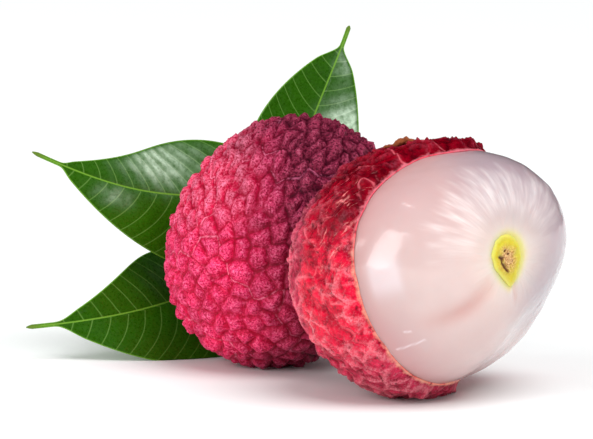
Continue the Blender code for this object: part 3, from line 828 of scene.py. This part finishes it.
def make_twig():
    """The woody twig: circles of the twig's radius plus bark noise along its Bezier arc."""
    rows, points_round = TWIG_MESH
    t = np.linspace(0, 1, rows)
    path = bezier(twig_path(), t)
    rings = tube_rings(path, bezier_heading(twig_path(), t), twig_radius(t), points_round)
    cracks = 0.09 * layered_noise(rings * (1, 1, 0.4), 0.7, 61) - 0.05
    rings = on_table(roughened(path, rings, cracks))
    cut = np.maximum(smooth_step((0.006 - t) / 0.006), smooth_step((t - 0.994) / 0.006))
    bark = bark_material("young_twig_bark", "#3c2a1a", "#8a7350")
    closed_surface("twig", "bark", bark, rings, cut=cut[:, None])


def make_fruit_stalk():
    """The stalk: a Bezier arc out of the dimple along the fruit's axis, over to the top of the twig."""
    axis = fruit_frame(WHOLE_FRUIT)[2]
    root = fruit_points(WHOLE_FRUIT, 0.0, 0.0) + axis * (GAP + 0.1)
    heading = bezier_heading(twig_path(), 0.0)
    end = twig_path()[0] - heading * GAP
    route = (root, root + axis * STALK_RISE, end - heading * STALK_RISE, end)
    rows, points_round = STALK_MESH
    t = np.linspace(0, 1, rows)
    radii = STALK_RADIUS + 0.25 * (smooth_step((t - 0.8) / 0.2) + smooth_step((0.15 - t) / 0.15))
    path = bezier(route, t)
    rings = tube_rings(path, bezier_heading(route, t), radii, points_round)
    rings = roughened(path, rings, 0.08 * layered_noise(rings, 0.6, 67) - 0.05)
    bark = bark_material("green_brown_stalk", "#4a3a1e", "#8c7a45")
    closed_surface("fruit_stalk", "stalk", bark, rings, cut=np.zeros((rows, 1)))


# ---------------------------------------------------------------- leaves
def petiole_radius(s):
    """The petiole's share of a leaf's half width and half thickness, fading out into the blade."""
    return PETIOLE_RADIUS * (1 - smooth_step(s / 0.12))


def leaf_half_width(leaf, side, s):
    """Half width of one side: a skewed hump to a power, drawn in by a dome curve before the tip.

    The blade, the drip tip and the petiole are added as squares under a square root.
    """
    place = np.clip((s - BLADE_START) / (leaf["blade_end"] - BLADE_START), 0, 1)
    skewed = place ** (math.log(0.5) / math.log(leaf["widest"]))
    blade = leaf["half_widths"][side] * (4 * skewed * (1 - skewed)) ** leaf["taper"]
    blade = blade * dome(1 - place, leaf["hollow_tip"])
    return np.sqrt(blade ** 2 + DRIP_TIP ** 2 * np.clip((1 - s) / 0.01, 0.05, 1) + petiole_radius(s) ** 2)


def leaf_midrib(name, leaf):
    """The Bezier arc of the midrib, starting a gap away from the twig."""
    heart = bezier(twig_path(), leaf["twig_at"])
    bend_1, bend_2, tip = from_low_corner(name, leaf["midrib"])
    start = heart + unit(bend_1 - heart) * (twig_radius(leaf["twig_at"]) + PETIOLE_GAP)
    return start, bend_1, bend_2, tip


def make_leaf(name, leaf, wax):
    """A leaf: thin closed sections square to the midrib, from the petiole to the drip tip.

    A section goes over the face from place 1 to -1 and back underneath. Its height is the fold,
    a rounded V, less camber * width^2, plus a bulge between side veins, a slow ripple, and half
    the thickness, less a groove along the midrib.
    """
    rows, points_across = LEAF_MESH
    s = np.linspace(0, 1, rows)
    route = leaf_midrib(name, leaf)
    middle = bezier(route, s)
    heading = bezier_heading(route, s)
    lean = np.radians(leaf["lean"][0] + (leaf["lean"][1] - leaf["lean"][0]) * s)
    facing = np.stack((0 * s, -np.cos(lean), np.sin(lean)), -1)
    across = unit(np.cross(heading, facing))
    upward = np.cross(across, heading)

    over = np.linspace(1, -1, points_across)
    place = np.concatenate((over, over[-2:0:-1]))[None]
    back = np.concatenate((0 * over, 0 * over[-2:0:-1] + 1))[None]
    side = place < 0
    half_width = np.where(side, leaf_half_width(leaf, 1, s)[:, None], leaf_half_width(leaf, 0, s)[:, None])
    reach = place * half_width
    run = np.concatenate(([0], np.cumsum(np.linalg.norm(np.diff(middle, axis=0), axis=1))))[:, None]
    # side veins leave the midrib at an angle and curve towards the tip
    width = np.abs(reach)
    phase = (run - 0.38 * width - 0.065 * width ** 2) / leaf["vein_spacing"] + 0.45 * side
    bulge = np.sin(math.pi * phase) ** 2
    inside = smooth_step(width / 1.2) * smooth_step((half_width - width) / 1.6)
    flat = middle[:, None] + across[:, None] * reach[..., None]
    ripple = layered_noise(flat, 7.0, leaf["seed"], 2)
    camber = np.where(side, leaf["camber"][1], leaf["camber"][0])
    sheet = (leaf["fold"] * (np.sqrt(reach ** 2 + CREASE_ROUNDING ** 2) - CREASE_ROUNDING)
             - camber * width ** 2 + VEIN_QUILTING * bulge * inside + 0.30 * ripple * inside)
    thick = np.sqrt(LEAF_HALF_THICKNESS ** 2 + petiole_radius(s) ** 2)[:, None]
    rounding = np.sqrt(np.clip(1 - place ** 8, 0, 1))
    groove = 0.10 * np.exp(-(reach / 0.30) ** 2) * (1 - back)
    height = sheet + thick * rounding * (1 - 2 * back) - groove
    rings = on_table(flat + upward[:, None] * height[..., None])

    # painted sheen: pale patches painted where the wax would reflect light, brighter on one side of each
    # side vein
    bloom = 0.0 * reach
    for at, spread, off, reach_spread, strength in leaf["waxy"]:
        patch = np.exp(-((s[:, None] - at) / spread) ** 2 - ((reach - off) / reach_spread) ** 2)
        bloom = bloom + strength * patch * (0.72 + 0.28 * np.cos(math.tau * (phase - 0.25)))
    bloom = np.clip(bloom * (1 + 0.4 * ripple), 0, 0.92) * smooth_step((half_width - width) / 0.8)
    tip = smooth_step((s - 0.965) / 0.03)[:, None]
    closed_surface(name, "leaf", wax, rings, phase=phase, across=reach, margin=half_width - width,
                   tip=tip, back=back, bloom=bloom)


# ---------------------------------------------------------------- the peeled fruit
def circle_noise(around, radius, seed, layers=1):
    """Noise that closes up round the fruit: it is read along a circle of the given radius."""
    circle = np.stack((radius * np.cos(around), radius * np.sin(around), 0 * around), -1)
    return layered_noise(circle, 1.0, seed, layers)


def make_peeled_lychee_flesh():
    """The flesh: the CAD form with a soft fold running down from the scar, faint fibres and dents.

    The fold and the crease are Gaussian grooves about a meridian. Fibres are noise stretched along
    meridians, and puckers raise them in a band round the scar.
    """
    size = PEELED_FRUIT["size"]
    in_sight, hidden, points_round = FLESH_MESH
    polar = np.concatenate((np.linspace(0.004, 1.75, in_sight), np.linspace(1.78, math.pi - 0.01, hidden)))
    polar = polar[:, None]
    around = around_angles(points_round)[None]
    far = polar * size                      # distance from the stalk end over the surface
    ray = np.stack(np.broadcast_arrays(10 * np.cos(around), 10 * np.sin(around), 0.30 * far), -1)
    fibres = 0.6 * cloud_noise(ray, 1.0, 71) + 0.4 * cloud_noise(ray * (2.8, 2.8, 1.6), 1.0, 72)
    directions = sphere_points(polar, around)
    slow = layered_noise(directions * size, 6.0, 75, 2)
    dents = layered_noise(directions * size, 2.2, 77, 2)

    off_fold = turn_away(around, FOLD_TURN + 0.10 * np.sin(far / 4.0)) * np.sin(polar) * size
    fold_run = smooth_step((far - 2.6) / 2.5) * smooth_step((18.5 - far) / 9.0)
    fold = np.exp(-(off_fold / 1.35) ** 2) * fold_run
    off_crease = turn_away(around, CREASE_TURN) * np.sin(polar) * size
    crease_run = smooth_step((far - 3.0) / 1.0) * smooth_step((8.0 - far) / 3.0)
    crease = np.exp(-(off_crease / 0.5) ** 2) * crease_run
    puckers = np.exp(-(far / 7.0) ** 2) * (1 - np.exp(-(far / 4.0) ** 2))
    nubs = smooth_step((turn_away(around, math.pi) - 1.7) / 0.6) * smooth_step((far - 7) / 4)
    proud = (0.08 * fibres * puckers + 0.10 * slow + 0.03 * dents + 0.07 * np.clip(dents, 0, 1) * nubs
             - 0.24 * fold - 0.22 * crease - FLESH_UNDER_CAD)
    rings = fruit_points(PEELED_FRUIT, polar, around, proud)

    # white fibres in a tufted band above the scar, a pale halo and a yellow stain round it
    above = smooth_step((1.62 - turn_away(around, 1.75)) / 0.8)
    tufts = circle_noise(around, 3.2, 73)
    band_start = smooth_step((far - 4.6 - 1.5 * tufts) / 2.5)
    band_end = smooth_step((13.5 + 3.5 * tufts + 3.0 * fibres - far) / 5.0)
    fibre = np.clip(band_start * band_end * (0.38 + 0.34 * fibres) * above, 0, 1)
    halo = 0.85 * np.exp(-(far / 5.4) ** 2)
    from_scar = np.hypot(far * np.cos(around) + 0.5 * SCAR_SHIFT, far * np.sin(around)) - scar_reach(around)
    stain = 0.85 * np.exp(-(np.maximum(from_scar, 0) / 0.75) ** 2)
    # painted shade: rosy with painted red bounce by the rind, dusky above, below and on the left, lilac on
    # the right
    right, _, up = np.moveaxis(directions @ fruit_frame(PEELED_FRUIT), -1, 0)
    in_front = (rind_edge_angle(around) - polar) * size
    rosy = np.clip(0.68 * np.exp(-(np.maximum(in_front, 0) / 1.9) ** 1.1), 0, 1)
    dusky = (0.85 * smooth_step(1.25 * up - 0.10 * right)
             + 0.45 * smooth_step(-0.15 - 1.1 * up) + 0.25 * smooth_step(1 - in_front / 9.0)
             + 0.7 * np.exp(-(turn_away(around, -2.50) / 0.5) ** 2) * smooth_step(1 - in_front / 11.0))
    lilac = 0.95 * smooth_step((right - 0.35 + 0.50 * up) / 0.55)
    # a painted highlight: a pale patch painted below the left window's reflection, and two scratches
    # painted as pale highlight lines
    gleam = 0.38 * np.exp(-(np.maximum(turn_away(around, -3.10) - 0.05, 0) / 0.12) ** 2
                          - (np.maximum(np.abs(polar - 1.09) - 0.09, 0) / 0.05) ** 2)
    scratch = 0 * gleam
    for start, end, turn, drift, wide in SCRATCHES:
        along = np.clip((polar - start) / (end - start), 0, 1)
        off = np.hypot((polar - start - along * (end - start)) * size,
                       turn_away(around, turn + drift * along) * np.sin(polar) * size)
        scratch = np.maximum(scratch, np.exp(-(off / wide) ** 2))
    # the fold and the crease also get a painted shade, darker pink along their grooves
    closed_surface("peeled_lychee_flesh", "flesh", flesh_material(), rings, ray_place=ray * (2.6, 2.6, 1.2),
                   fibre=fibre, halo=halo, stain=stain, rosy=rosy, dusky=np.clip(dusky, 0, 1), lilac=lilac,
                   fold=np.clip(0.85 * fold + 0.4 * crease, 0, 1), gleam=gleam + 0.5 * scratch)


def make_peeled_lychee_rind():
    """The rind left on the back of the fruit: an outer wall with bumps, a thin edge, an inner wall.

    The outer wall stands a rind's thickness off the flesh, less the depth of the grooves, plus
    domes, grains, ridges and noise, with wrinkles that slant in from the torn edge. All of them fade
    out towards the edge, where both walls come down to the flesh.
    """
    size = PEELED_FRUIT["size"]
    outer_rows, lip_rows, inner_rows, points_round = RIND_MESH
    around = around_angles(points_round)
    edge = rind_edge_angle(around) + 0.012 * circle_noise(around, 9, 81)
    far_end = math.pi - 0.012
    polar = edge + (far_end - edge) * np.linspace(0, 1, outer_rows)[:, None] ** 0.94
    turns = np.broadcast_to(around, polar.shape)
    directions = sphere_points(polar, turns)
    field, grains = ({key: value.reshape(polar.shape) for key, value in
                      bump_field(PEELED_FRUIT, bumps, directions.reshape(-1, 3)).items()}
                     for bumps in (PEELED_BUMPS, PEELED_GRAINS))
    places = directions * size
    in_from_edge = (polar - edge) * size
    crest = dome(field["rim"], PEELED_SHOULDER)
    grain = dome(grains["rim"], GRAIN_SHOULDER)
    # wrinkles: noise squeezed round the fruit and stretched away from the edge, on a slant
    slant = turns - 0.085 * in_from_edge
    creased = np.stack((19 * np.cos(slant), 19 * np.sin(slant), 0.42 * in_from_edge), -1)
    wrinkle = 1 - 2 * np.abs(layered_noise(creased, 1.7, 83, 2))
    near_edge = smooth_step((0.62 - turn_away(turns, 2.72)) / 0.4)
    near_edge = near_edge * np.exp(-((in_from_edge - 2.6) / 2.5) ** 2)
    seam = np.exp(-(field["rim"] / 0.30) ** 2) * smooth_step(0.65 + 1.6 * layered_noise(places, 3.0, 90, 2))
    ridge = np.clip(1 - 5.0 * np.abs(layered_noise(places, 2.6, 87, 2)), 0, 1)
    ridge = ridge * smooth_step(0.75 + 2.0 * layered_noise(places, 3.5, 89, 2))
    ridge = np.maximum(ridge, seam) * smooth_step(in_from_edge / 0.8) * (1 - 0.6 * near_edge)
    relief = (PEELED_RISE * crest * (1 + 0.5 * field["tone"]) * (1 - 0.5 * near_edge)
              + 0.06 * grain + 0.36 * wrinkle * near_edge + 0.62 * ridge
              + 0.24 * layered_noise(places, 1.8, 91, 2))
    full = RIND_GAP + RIND_THICKNESS - PEELED_GROOVE
    fade = smooth_step(in_from_edge / 1.7)
    raised = TORN_THICKNESS + (full - TORN_THICKNESS + relief) * fade
    outer = fruit_points(PEELED_FRUIT, polar, turns, raised)

    half = (TORN_THICKNESS - EDGE_PRESS) / 2
    bend = np.linspace(0, math.pi, lip_rows + 2)[1:-1, None]
    lip = fruit_points(PEELED_FRUIT, edge - 0.8 * half * np.sin(bend) / size, around,
                       EDGE_PRESS + half * (1 + np.cos(bend)))
    inner_polar = edge + (far_end - edge) * np.linspace(0, 1, inner_rows)[:, None] ** 1.6
    inner_height = EDGE_PRESS + (RIND_GAP - EDGE_PRESS) * smooth_step((inner_polar - edge) * size / 2.0)
    inner = fruit_points(PEELED_FRUIT, inner_polar, around, inner_height)
    rings = on_table(np.concatenate((outer[::-1], lip, inner)))

    def joined(values, on_lip, on_inner):
        """The outer wall's values, then the lip's and the inner wall's."""
        return np.concatenate([np.broadcast_to(part, wall.shape[:2]) for part, wall in
                               ((values[::-1], outer), (on_lip, lip), (on_inner, inner))])

    _, _, up = np.moveaxis(directions @ fruit_frame(PEELED_FRUIT), -1, 0)
    slow = layered_noise(places, 6.0, 93, 2)
    wet = smooth_step((12.0 - in_from_edge + 2.5 * slow) / 3.5) * smooth_step((up + 0.80) / 0.5)
    blush = smooth_step(1.02 - 1.22 * up + 0.25 * slow)
    # where the painted shade falls: low on the fruit
    under = smooth_step(-0.30 - up)
    peach = smooth_step((0.15 - (0.4 * np.cos(around) + np.sin(around))) / 0.6)[None]
    unstreaked = np.zeros((lip_rows + inner_rows, points_round, 3))
    closed_surface(
        "peeled_lychee_rind", "wet_rind", wet_rind_material(), rings,
        crest=joined(0.45 * crest + 0.55 * ridge, 1.0, 1.0), grain=joined(grain, 1.0, 1.0),
        wet=joined(wet, 1.0, 1.0), blush=joined(blush, 1.0, 1.0), thread=joined(field["thread"], 5.0, 5.0),
        ridge=joined(0.75 * ridge * (0.35 + 0.65 * blush), 0.0, 0.0), near=joined(near_edge, 0.0, 0.0),
        under=joined(under, under[-1], under[-1]), peach=joined(peach, peach, peach),
        edge=joined(in_from_edge, 0.0, (edge - inner_polar) * size),
        streak_place=np.concatenate((creased[::-1], unstreaked)) * (1.15, 1.15, 1.7))


def scar_reach(angle):
    """Outline of the scar: half an ellipse above, half a superellipse of lower power below."""
    above = np.sin(angle) > 0
    up = np.where(above, SCAR_UP, SCAR_DOWN)
    power = np.where(above, 2.0, SCAR_POINT)
    across = np.abs(np.cos(angle)) / SCAR_SIDE
    along = np.abs(np.sin(angle)) / up
    return (across ** power + along ** power) ** (-1 / power)


def make_stem_scar():
    """The scar: a low ring with a grainy middle and crevices, lying in the flesh's dimple.

    Height = thickness * sqrt(1 - part^2), lower in the middle and along the crevices, plus noise.
    The round end is pushed sideways, so the teardrop leans.
    """
    rows, points_round = SCAR_MESH
    angle = around_angles(points_round)[None]
    part = np.linspace(1, 0.02, rows)[:, None]
    flesh_radius = fruit_radius(PEELED_FRUIT, 0.0, 0.0)
    outline = part * (1 + 0.07 * circle_noise(angle, 3, 96, 2)) * scar_reach(angle)
    x = outline * np.cos(angle)
    y = outline * np.sin(angle)
    x = x - SCAR_SHIFT * smooth_step((y + 3.2) / 2.6)
    flat = np.stack((x, y, 0 * x), -1)
    lumps = layered_noise(flat, 0.8, 97)
    ragged = layered_noise(flat, 0.35, 98, 2)
    crevice = 0 * x
    for start, end, wide in SCAR_CREVICES:
        start, step = np.array(start), np.subtract(end, start)
        run = np.clip((flat[..., :2] - start) @ step / (step @ step), 0, 1)
        off = np.linalg.norm(flat[..., :2] - start - run[..., None] * step, axis=-1)
        crevice = np.maximum(crevice, np.exp(-((off + 0.16 * ragged) / wide) ** 2))
    middle = np.exp(-(((x + 0.65) / 1.25) ** 2 + ((y + 0.15) / 1.65) ** 2))
    rise = SCAR_THICKNESS * np.sqrt(1 - part ** 2) * (1 - 0.35 * middle - 0.45 * crevice)
    polar = np.hypot(x, y) / flesh_radius
    turn = np.arctan2(y, x)
    top = fruit_points(PEELED_FRUIT, polar, turn, rise + 0.14 * lumps * (1 - part ** 4) - 0.05)
    bottom = fruit_points(PEELED_FRUIT, polar, turn, -0.12)
    core = np.clip(1.5 * middle * (1 + 0.5 * lumps) - 0.15, 0, 1)
    rim = smooth_step((part - 0.72) / 0.28) + 0 * x
    core, crevice, rim = (np.concatenate((values[::-1], values)) for values in (core, crevice, rim))
    closed_surface("stem_scar", "scar", scar_material(), np.concatenate((top[::-1], bottom)),
                   core=core, crevice=crevice, rim=rim)


def make_dried_calyx():
    """The dried flake of calyx: a tube along its path with a ragged radius."""
    polar, around, radii = np.array(CALYX_PATH).T
    path = fruit_points(PEELED_FRUIT, polar, around, RIND_GAP + RIND_THICKNESS + 0.6 * radii)
    rows, points_round = CALYX_MESH
    knots = np.arange(len(path))
    place = np.linspace(0, len(path) - 1, rows)
    path = np.stack([np.interp(place, knots, column) for column in path.T], -1)
    radii = np.interp(place, knots, radii)
    rings = tube_rings(path, unit(np.gradient(path, axis=0)), radii, points_round)
    rings = roughened(path, rings, 0.45 * layered_noise(rings, 0.6, 101) - 0.15)
    flake = bark_material("dried_calyx", "#5a2a12", "#b0603a")
    closed_surface("dried_calyx", "dry_calyx", flake, rings, cut=np.zeros((rows, 1)))


# ---------------------------------------------------------------- camera, light and floor
def add_camera():
    """The camera: straight in front of the fruit, looking slightly down at it."""
    low, high = box_corners("whole_lychee")
    aim = (low + high) / 2 + CAMERA_AIM
    down = math.radians(CAMERA_DOWN)
    lens = bpy.data.cameras.new("camera")
    lens.sensor_width = 36.0
    lens.lens = CAMERA_LENS
    lens.clip_start = 0.01
    lens.clip_end = 50.0
    camera = add_object("camera", lens)
    camera.location = (aim + CAMERA_DISTANCE * np.array((0, -math.cos(down), math.sin(down)))) * MM
    camera.rotation_euler = (math.radians(90) - down, 0, 0)
    bpy.context.scene.camera = camera


def add_softbox(name, aim, turn, rise, width, height, glow, roll, mirrored):
    """A rectangular light that faces the aim. Its power is pi * area * glow."""
    light = bpy.data.lights.new(name, "AREA")
    light.shape = "RECTANGLE"
    light.size = width
    light.size_y = height
    light.energy = math.pi * width * height * glow
    lamp = add_object(name, light)
    turn, rise = math.radians(turn), math.radians(rise)
    lamp.location = aim * MM + SOFTBOX_DISTANCE * turned_towards(turn, rise)
    lamp.rotation_euler = (math.pi / 2 - rise, math.radians(roll), turn)
    lamp.visible_glossy = mirrored


def add_studio():
    """A white floor, an even white surround, a soft key light and the softboxes."""
    scene = bpy.context.scene
    scene.view_settings.view_transform = "Standard"
    world = bpy.data.worlds.new("white_studio")
    scene.world = world
    world.use_nodes = True
    surround = world.node_tree.nodes["Background"]
    surround.inputs["Color"].default_value = (1, 1, 1, 1)
    surround.inputs["Strength"].default_value = 0.42
    world.cycles_visibility.glossy = False

    mesh = bpy.data.meshes.new("floor")
    mesh.from_pydata([(-6, -6, 0), (6, -6, 0), (6, 6, 0), (-6, 6, 0)], [], [(0, 1, 2, 3)])
    paint, _ = new_material("white_studio_floor", {
        "Base Color": srgb("#f2f4f4"), "Roughness": 0.9, "Specular IOR Level": 0.0})
    mesh.materials.append(paint)
    add_object("floor", mesh)

    key = bpy.data.lights.new("soft_key", "SUN")
    key.energy = 2.25
    key.angle = math.radians(45)
    lamp = add_object("soft_key", key)
    lamp.rotation_euler = (math.radians(22), math.radians(20), 0)
    lamp.visible_glossy = False
    low, high = (np.array(corner) / MM for corner in cad_bounds)
    for name, settings in SOFTBOXES.items():
        add_softbox(name, (low + high) / 2, *settings)


def build():
    """Make every piece, then the studio."""
    add_camera()
    make_whole_lychee()
    make_fruit_stalk()
    make_twig()
    wax = leaf_material()
    for name, leaf in LEAVES.items():
        make_leaf(name, leaf, wax)
    make_peeled_lychee_flesh()
    make_peeled_lychee_rind()
    make_stem_scar()
    make_dried_calyx()
    add_studio()


build()
